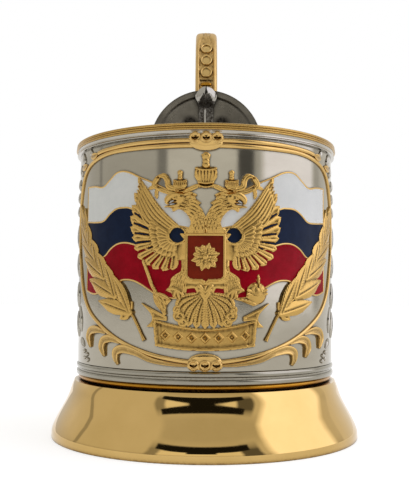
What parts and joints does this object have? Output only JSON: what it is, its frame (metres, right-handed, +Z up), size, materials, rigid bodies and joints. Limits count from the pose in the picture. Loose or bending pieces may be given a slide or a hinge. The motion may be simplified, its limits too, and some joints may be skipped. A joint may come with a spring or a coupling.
{
  "type": "tea glass holder",
  "caption": "Metal sleeve for a tea glass on a flared foot, with a tall strap handle and an enamelled relief of a two-headed eagle on its front.",
  "frame": {"origin": "centre of the foot's underside, on the sleeve's axis", "axes": "+Z up along the sleeve's axis, the enamelled picture faces -Y, the handle is on +Y"},
  "size_m": [0.0864, 0.1226, 0.1378],
  "materials": {
    "polished_gold": "polished gold plate",
    "satin_gold": "satin gold plate, darker in the recesses",
    "satin_nickel": "warm satin nickel",
    "dark_nickel": "dark grained nickel",
    "bright_steel": "plain bright steel",
    "white_enamel": "glossy enamel",
    "blue_enamel": "glossy enamel",
    "red_enamel": "glossy enamel",
    "brown_red_enamel": "glossy enamel"
  },
  "bodies": {
    "root": {"foot": "polished_gold", "neck_ring": "polished_gold", "under_plate": "satin_nickel", "sleeve": "satin_nickel", "clamp_screw": "bright_steel", "washer": "bright_steel", "nut": "bright_steel", "lower_moulding": "satin_nickel", "rim": "polished_gold", "cove": "satin_nickel", "picture_frame": "satin_gold", "frame_crest": "satin_gold", "frame_curls_left": "satin_gold", "frame_curls_right": "satin_gold", "corner_drops_left": "satin_nickel", "corner_drops_right": "satin_nickel", "side_pendant_left": "satin_nickel", "side_pendant_right": "satin_nickel", "top_clasp": "satin_gold", "bottom_clasp": "satin_gold", "enamel_white": "white_enamel", "enamel_blue": "blue_enamel", "enamel_red": "red_enamel", "enamel_lines": "satin_gold", "laurel_left": "satin_gold", "laurel_right": "satin_gold", "eagle": "satin_gold", "crowns": "satin_gold", "crown_ribbons": "satin_gold", "shield_rim": "satin_gold", "shield_enamel": "brown_red_enamel", "shield_rosette": "satin_gold", "staff": "satin_gold", "orb": "satin_gold", "ribbon": "satin_gold", "ribbon_lozenges": "satin_gold", "thumb_shield": "dark_nickel", "leaf_hook": "satin_nickel", "handle": "satin_gold", "handle_rings": "satin_gold", "handle_stud": "satin_gold", "upper_root": "satin_gold", "lower_root": "satin_gold", "root_rivets": "bright_steel"}
  },
  "joints": []
}
